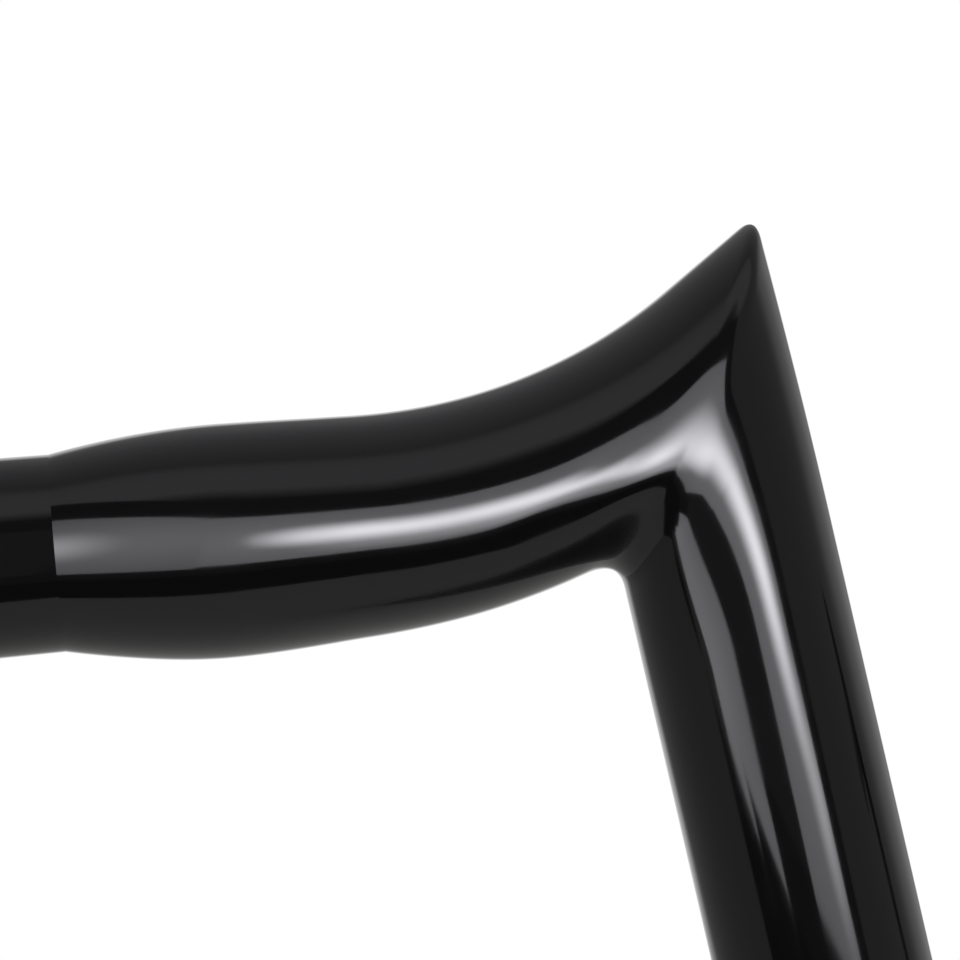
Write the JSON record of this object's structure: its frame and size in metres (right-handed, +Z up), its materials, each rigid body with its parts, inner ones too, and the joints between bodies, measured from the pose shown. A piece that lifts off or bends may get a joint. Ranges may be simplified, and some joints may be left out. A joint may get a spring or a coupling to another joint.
{
  "type": "ape hanger handlebar",
  "caption": "Tall motorcycle handlebar of gloss black steel tubes, with fat risers, pointed mitred corners, bent arms and slim grip ends.",
  "frame": {"origin": "the middle of the clamp tube, on its axis", "axes": "+X towards the rider's right along the clamp tube, +Y ahead, +Z up along the rise"},
  "size_m": [0.959, 0.0994, 0.3572],
  "materials": {
    "gloss_black_paint": "gloss"
  },
  "bodies": {
    "root": {"clamp_tube": "gloss_black_paint", "left_riser": "gloss_black_paint", "right_riser": "gloss_black_paint", "left_arm": "gloss_black_paint", "right_arm": "gloss_black_paint", "left_grip_tube": "gloss_black_paint", "right_grip_tube": "gloss_black_paint", "left_corner_weld": "gloss_black_paint", "right_corner_weld": "gloss_black_paint"}
  },
  "joints": []
}
